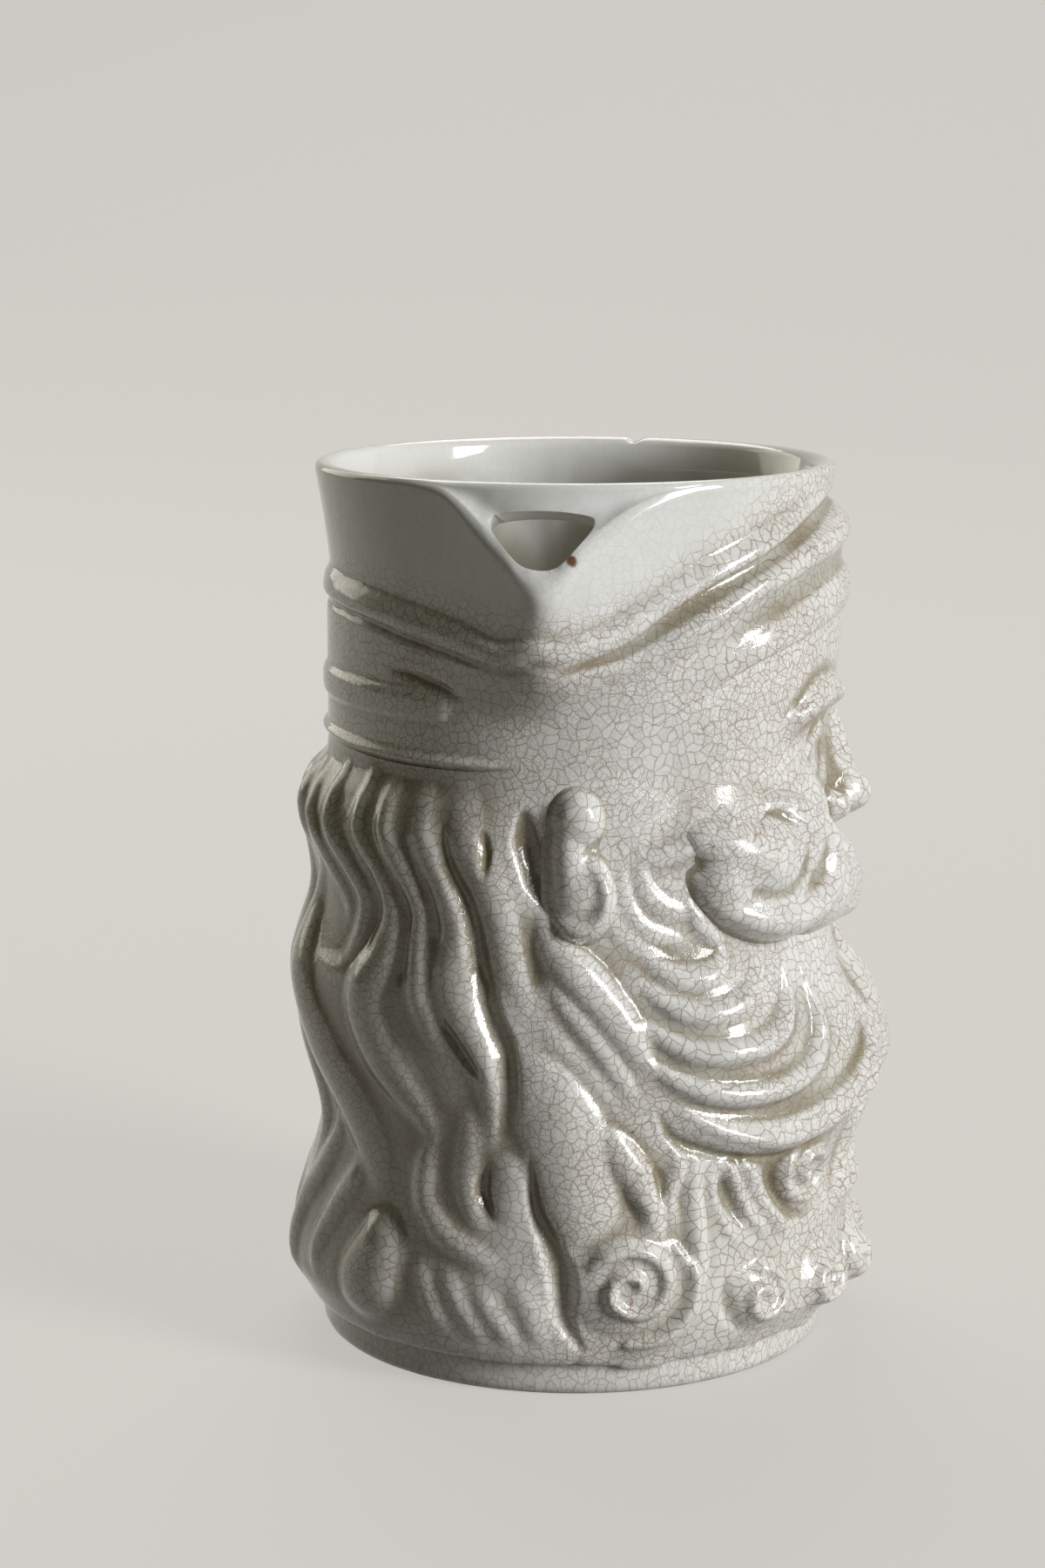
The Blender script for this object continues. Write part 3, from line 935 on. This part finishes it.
def hat_seam(azimuth):
    """Height of the joint between the band and the hat."""
    return hat_seam_line(np.abs(azimuth))


def up_band(azimuth, height):
    """How far up the band a height lies: 0 at the band's lower edge, 1 at the hat."""
    low = cap_edge(azimuth)
    return (height - low) / (hat_seam(azimuth) - low)


def band_lining(azimuth, share):
    """Radius of the band's inside, a share of the way up the band."""
    return cornered(azimuth, lining, corner_foot_reach * smooth(share, 0, 1))


def cap_wall(azimuth, height):
    """Radius of the cap band and the hat's wall above it, up to the crest."""
    front = (1 + np.cos(np.radians(azimuth))) / 2
    low, seam = cap_edge(azimuth), hat_seam(azimuth)
    crest_radius, crest_height = crest_of(azimuth)
    rise = np.clip(up_band(azimuth, height), 0, 1)
    band = cornered(azimuth, mouth_radius - 2 + 4.2 * smooth(front, 0.1, 0.75),
                    corner_foot_reach * smooth(rise, 0.15, 1), 6.0 + 5.0 * (1 - smooth(rise, 0.3, 1)))
    foot = cornered(azimuth, mouth_radius, corner_reach + 1.0, 6.0) - 2.4 * (1 - front) - 0.5
    climb = np.clip((height - seam - 3) / np.maximum(crest_height - 0.6 - seam - 3, 1), 0, 1)
    hat = foot + (crest_radius - foot) * climb**1.3
    radius = band + (hat - band) * smooth(height, seam - 2, seam + 5) + read_off(cap_relief, azimuth, height)
    head = head_surface(azimuth, np.minimum(height, low))
    off = np.abs(azimuth)
    melted = smooth(off, 46, 66) * smooth(116 - off, 0, 18)
    up = height - low
    lip = np.sqrt(np.clip(1 - (1 - np.clip(up / 1.6, 0, 1))**2, 0, 1))
    ease = lip * (1 - melted) + smooth(up, -0.5, 15) * melted
    bead = 0.95 * smooth(off, 104, 118) * np.exp(-((up - 1.5) / 1.1)**2) * lip
    return head - 0.25 + (radius - head + 0.25) * ease + bead


band_rows, band_lining_rows = 84, 8
last_row = band_rows + band_lining_rows + 2
cap_band, turn, step = rolled_strip("cap_band_visual", 480, last_row)
azimuth = turn * 360 - 180
outer = (step <= band_rows) | (step == last_row)
share = np.where(outer, step / band_rows, 1 - (step - band_rows - 1) / band_lining_rows)
share = np.where(step == last_row, 0, share)
low = cap_edge(azimuth)
height = low + (hat_seam(azimuth) - low) * np.where(outer, share**1.35, share)
radius = np.where(outer, cap_wall(azimuth, height), band_lining(azimuth, share))
set_points(cap_band.data, around_z(radius, azimuth, height))
closed_up(cap_band.data)
radius, azimuth, height = polar(points_of(cap_band.data) / MM)
up = height - cap_edge(azimuth)
outer = radius > band_lining(azimuth, up_band(azimuth, height)) + 1.0
follow_surface(cap_band.data, cap_wall, outer & (up > 2), azimuth, height)
edge_shade = 1.15 * smooth(np.abs(azimuth), 98, 112) * np.exp(-(up / 0.9)**2)
lay_glaze(cap_band, run_of(azimuth, height), np.where(outer, 1.0, 0.1),
          np.where(outer, read_off(cap_cavity, azimuth, height) + edge_shade, 0.5), head_glaze)
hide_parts("cap_band")


# Cocked hat: the brim turned up into a wall with a corner over each side, closed by a sloping roof
# that runs up to the round mouth. It is pressed in one, joined to the band, and the three-cornered
# pouring hole is cut through the roof of the near corner with a knife and softened with a sponge.
hat_path = [("wall", 0)]
for part, steps in (("wall", 48), ("crest", 10), ("roof", 26), ("rim", 10), ("lining", 30)):
    hat_path += [(part, i / steps) for i in range(1, steps + 1)]
hat_path += [("wall", 0)]
cocked_hat, turn, step = rolled_strip("cocked_hat_visual", 600, len(hat_path) - 1)
azimuth = turn * 360 - 180
stage = np.array([place[0] for place in hat_path])[step]
share = np.array([place[1] for place in hat_path])[step]
crest_radius, crest_height = crest_of(azimuth)
seam = hat_seam(azimuth)
cornerness = smooth(jug_height - crest_height, 1.2, 9)
turn_in = 1.1 + 1.1 * cornerness


def level(radius, under_rim=0):
    """The same radius and the same depth under the rim all round."""
    return radius + 0 * azimuth, jug_height - under_rim + 0 * azimuth


def mix(first, second, t):
    """The place at a share t of the way from the first to the second."""
    return tuple(a + (b - a) * t for a, b in zip(first, second))


def bent(first, corner, last, t):
    """A smooth bend from one place to the next round a corner."""
    return tuple(a * (1 - t)**2 + 2 * b * t * (1 - t) + c * t**2 for a, b, c in zip(first, corner, last))


def bent_twice(first, corner, middle, next_corner, last):
    """Two smooth bends, each over half of the part's rows."""
    early = bent(first, corner, middle, np.clip(share * 2, 0, 1))
    late = bent(middle, next_corner, last, np.clip(share * 2 - 1, 0, 1))
    return tuple(np.where(share < 0.5, *pair) for pair in zip(early, late))


rim_corner = level(mouth_radius - 0.6)
crest_corner = (crest_radius + 0.15, crest_height)
roof_slope = np.hypot(rim_corner[0] - crest_corner[0], rim_corner[1] - crest_corner[1]) + 1e-6
wall_top = (cap_wall(azimuth, crest_height - turn_in), crest_height - turn_in)
crest_end = mix(crest_corner, rim_corner, np.minimum(turn_in / roof_slope, 0.4))
rim_start = mix(rim_corner, crest_corner, np.minimum(1.1 / roof_slope, 0.4))
mouth_under = level(mouth_radius - 3.9, 1.2)
under_crest = (crest_radius - wall - 0.6, crest_height - wall - 0.9)
lining_foot = (cornered(azimuth, lining, corner_foot_reach), seam)
dish = 0.9 * cornerness * np.sin(math.pi * np.clip(share, 0, 1))
wall_height = seam + (crest_height - turn_in - seam) * share
roof_run = mix(crest_end, rim_start, share)
runs = {
    "wall": (cap_wall(azimuth, wall_height), wall_height),
    "crest": bent(wall_top, crest_corner, crest_end, share),
    "roof": (roof_run[0] - 0.9 * dish, roof_run[1] - 0.44 * dish),
    "rim": bent_twice(rim_start, rim_corner, level(mouth_radius - 1.5), level(mouth_radius - 3.0),
                      mouth_under),
    "lining": bent_twice(mouth_under, level(mouth_radius - 4.9, 3.5), mix(mouth_under, under_crest, 0.8),
                         (under_crest[0] + 0.5, under_crest[1] - 2.5), lining_foot)}
radius = np.select([stage == part for part in runs], [run[0] for run in runs.values()])
height = np.select([stage == part for part in runs], [run[1] for run in runs.values()])
nick_azimuth = 74  # of the small nick in the far rim
nick = np.exp(-((azimuth - nick_azimuth) * mm_per_degree / 1.3)**2) * (radius > lining + 0.5)
nick *= smooth(height, jug_height - 1.4, jug_height)
hat_points = around_z(radius, azimuth, height - 0.9 * nick)

# The hole is cut here: the clay inside the outline goes, its edge is drawn to the outline, the cut
# is walled from outside to inside, and the edges are rounded.
corner_radius, corner_height = (float(v) for v in crest_of(-corner_azimuth))
slope = math.atan2(jug_height - corner_height, corner_radius - mouth_radius)
upright = np.array([0.0, 0.0, 1.0])
sideways = around_z(1.0, 90 - corner_azimuth, 0.0)
outwards = around_z(1.0, -corner_azimuth, 0.0)
upslope = -math.cos(slope) * outwards + math.sin(slope) * upright
through = np.cross(sideways, upslope)
hole_centre = (outwards * ((corner_radius + mouth_radius) / 2 - 0.2)
               + upright * ((corner_height + jug_height) / 2 + 0.2))
hole_reach = outline_reach([(-9.9, 3.4), (-9.0, 4.7), (-6, 5.1), (0, 5.2), (5.2, 5.0), (8.4, 4.5),
                            (9.1, 3.2), (8.2, 0.9), (6.0, -2.2), (4.0, -4.6), (1.9, -5.9), (-1.0, -6.1),
                            (-3.9, -5.0), (-6.7, -2.0), (-8.9, 1.0)])


def seen_through(points):
    """Points in the hole's own directions: sideways, up the slope, and in."""
    off = points - hole_centre
    return off @ sideways, off @ upslope, off @ through


def from_hole(points):
    """How far points lie from the middle of the hole, where 1 is on its outline."""
    aside, up = seen_through(points)[:2]
    return np.hypot(aside, up) / hole_reach(np.degrees(np.arctan2(up, aside)))


set_points(cocked_hat.data, hat_points)
closed_up(cocked_hat.data)
hat_points = points_of(cocked_hat.data) / MM
work = bmesh.new()
work.from_mesh(cocked_hat.data)
in_the_way = (hat_points @ outwards > 30) & (from_hole(hat_points) < 1.0)
bmesh.ops.delete(work, geom=[v for v, cut in zip(work.verts, in_the_way) if cut], context="VERTS")
for trim in range(3):
    spurs = [f for f in work.faces if sum(e.is_boundary for e in f.edges) >= 2]
    if not spurs:
        break
    bmesh.ops.delete(work, geom=spurs, context="FACES")
bmesh.ops.delete(work, geom=[v for v in work.verts if not v.link_faces], context="VERTS")
for v in {v for e in work.edges if e.is_boundary for v in e.verts}:
    spot = np.array(v.co) / MM
    aside, up, deep = seen_through(spot)
    scale = 1 / from_hole(spot)
    v.co = ((hole_centre + sideways * aside * scale + upslope * up * scale + through * deep) * MM).tolist()
for rub in range(4):
    ring = [v for v in work.verts if not any(e.is_boundary for e in v.link_edges)
            and any(n.is_boundary for e in v.link_edges for n in e.other_vert(v).link_edges)]
    bmesh.ops.smooth_vert(work, verts=ring, factor=0.5, use_axis_x=True, use_axis_y=True, use_axis_z=True)
walled = bmesh.ops.bridge_loops(work, edges=[e for e in work.edges if e.is_boundary])
cut_faces = set(walled["faces"])
lip_edges = [e for e in {e for f in cut_faces for e in f.edges}
             if sum(f in cut_faces for f in e.link_faces) == 1]
bmesh.ops.recalc_face_normals(work, faces=work.faces)
bmesh.ops.bevel(work, geom=lip_edges, offset=1.1 * MM, offset_type="OFFSET", segments=4, profile=0.5,
                affect="EDGES", material=-1, clamp_overlap=True)
work.to_mesh(cocked_hat.data)
work.free()
cocked_hat.data.polygons.foreach_set("use_smooth", [True] * len(cocked_hat.data.polygons))

hat_points = points_of(cocked_hat.data) / MM
radius, azimuth, height = polar(hat_points)
crest_radius, crest_height = crest_of(azimuth)
by_crest = height > crest_height - 2
over_crest = np.clip(crest_radius - radius, 0, 12) * by_crest
run_up = np.where(by_crest, crest_height - 2 + np.hypot(over_crest, height - crest_height + 2), height)
outside = cap_wall(azimuth, np.minimum(height, crest_height)) - radius < 2.0
uncrazed = 0.82 * smooth(height - hat_seam(azimuth), 5, 13) * smooth(np.abs(azimuth), 18, 60)
crazed = np.where(outside, 1 - uncrazed, 0.08)
crazed = np.where(over_crest > 0.8, np.minimum(crazed, 0.22), crazed)
hollow = np.where(outside & (height < crest_height - 1.5), read_off(cap_cavity, azimuth, height),
                  0.6 * smooth(crest_height - height, -4, 12))
deep = seen_through(hat_points)[2]
in_hole = (from_hole(hat_points) < 1.02) & (np.abs(deep) < 9)
hollow = np.where(in_hole, 0.5 * smooth(deep, 0.6, 2.5), hollow)
hat_glaze = glaze_finish("cream glaze, sparsely crazed")
tree = hat_glaze.node_tree
chip_spot = hole_centre + sideways * 5.4 - upslope * 4.2 - through * 0.6
chip_brown = (0.17, 0.085, 0.045, 1)
place = node(tree, "ShaderNodeTexCoord").outputs["Object"]
reach = node(tree, "ShaderNodeVectorMath", {0: place, 1: tuple(chip_spot * MM)}, operation="DISTANCE")
ragged = node(tree, "ShaderNodeTexNoise", {"Vector": place, "Scale": 900.0, "Detail": 2.0}).outputs["Fac"]
ragged_reach = maths(tree, "ADD", reach.outputs["Value"], maths(tree, "MULTIPLY", ragged, 0.0009))
over_glaze(hat_glaze, ramp(tree, ragged_reach, 0.0019, 0.0012), chip_brown)
lay_glaze(cocked_hat, run_of(azimuth, run_up), crazed, hollow, hat_glaze)
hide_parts("cocked_hat")


# Handle: a pulled strap of clay with an oval section, luted on with a smear of slip under the cap band
# and low on the head, and bent round to leave room for the fingers.
grip_path = [(0, 46.0, 122.6), (0, 54.5, 125.0), (0, 70.3, 125), (0, 86.3, 112), (0, 89.5, 96),
             (0, 82.3, 72), (0, 66.3, 58), (0, 53.5, 53), (0, 46.3, 52.2)]
grip_wide, grip_thick, grip_steps = 18, 13, 150
grip_round, grip_length = 7.6, 168  # mean radius of the section and length along the strap
head_face = 50  # distance from the jug's axis to the clay that the strap is luted to
pattern_start = 420  # mm round the glaze's pattern, past the part that lies on the jug's body
grip_outline = [(0, 0)] + [(1, i / grip_steps) for i in range(grip_steps + 1)] + [(0, 1)]
handle = as_piece("handle_visual", turned(grip_outline, 64))
sheet, turn, share = polar(points_of(handle.data))
path = carried_on(grip_path)
spot = np.clip(share * (len(grip_path) - 1), 0, len(grip_path) - 1.0001)
i = np.floor(spot).astype(int)
t = (spot - i)[:, None]
a, b, c, d = path[i], path[i + 1], path[i + 2], path[i + 3]
middle = on_spline(a, b, c, d, t)
along = c - a + 2 * (2 * a - 5 * b + 4 * c - d) * t + 3 * (3 * b - a - 3 * c + d) * t**2
along /= np.linalg.norm(along, axis=1)[:, None]
off_wall = middle[:, 1] - head_face
flare = 1 + 0.32 * np.exp(-np.clip(off_wall, 0, 99) / 3.2)
taper = (1 - 0.14 * np.sin(math.pi * share)) * flare * np.where(sheet < 0.5, 0, 1)
out = np.stack([0 * share, -along[:, 2], along[:, 1]], 1)
aside, outward = np.cos(np.radians(turn)), np.sin(np.radians(turn))
flat_back = 1 - 0.10 * smooth(outward, 0.2, 1.0)
groove = 0.55 * np.exp(-(aside / 0.22)**2) * (outward > 0) * smooth(off_wall, 4, 14)
grip = middle + out * (grip_thick / 2 * outward * flat_back * taper - groove)[:, None]
grip[:, 0] += grip_wide / 2 * aside * taper
root_radius, root_turn, root_height = polar(grip)
inner_face = band_lining(root_turn, up_band(root_turn, root_height)) + 2.4
grip[:, :2] *= np.maximum(1, inner_face / root_radius)[:, None]
set_points(handle.data, grip)
grip_run = np.stack([np.radians(turn) * grip_round + pattern_start, share * grip_length], 1)
lay_glaze(handle, grip_run, 0.95, 0.7 * np.exp(-(off_wall / 1.6)**2), head_glaze)
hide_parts("handle")
